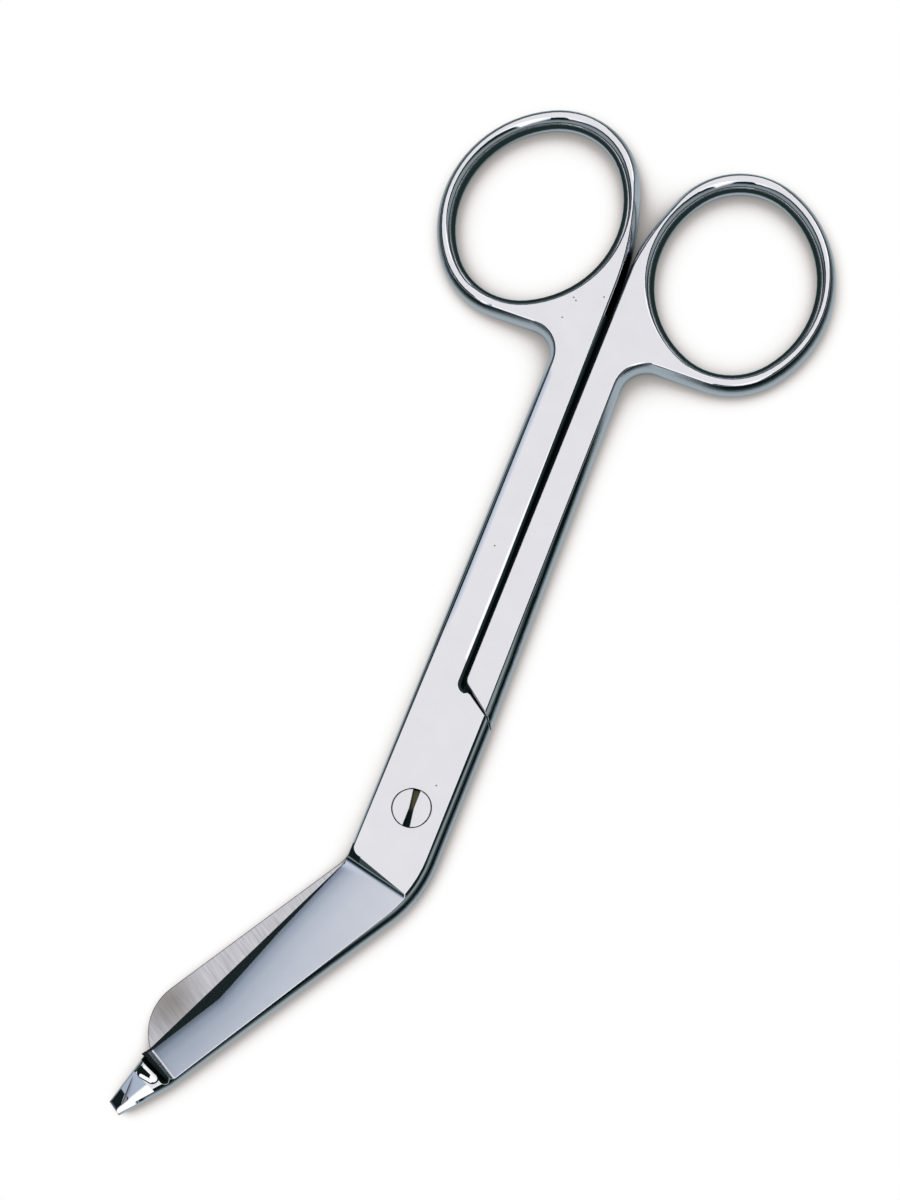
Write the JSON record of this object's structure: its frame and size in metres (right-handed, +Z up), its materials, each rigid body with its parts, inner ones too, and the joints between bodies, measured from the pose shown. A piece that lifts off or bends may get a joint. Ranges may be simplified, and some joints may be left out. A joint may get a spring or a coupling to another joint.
{
  "type": "bandage scissors",
  "caption": "Angled scissors with finger rings, a flush slotted pivot screw, a long blade ending in a blunt probe, and a shorter blade with a round end.",
  "frame": {"origin": "on the pivot axis, in the underside that the closed scissors lie on", "axes": "+Z up out of the screw's head, +Y along the shanks to the finger rings, +X to the short blade's ring"},
  "size_m": [0.051, 0.1367, 0.004],
  "materials": {
    "forged_steel": "polished",
    "screw_steel": "polished"
  },
  "bodies": {
    "short_half": {"short_blade_half": "forged_steel", "pivot_screw": "screw_steel"},
    "probe_half": {"probe_blade_half": "forged_steel"}
  },
  "joints": [
    {"name": "pivot", "type": "hinge", "parent": "short_half", "child": "probe_half", "pos_m": [0, 0, 0.002], "axis": [0, 0, 1], "range_deg": [0, 100]}
  ]
}
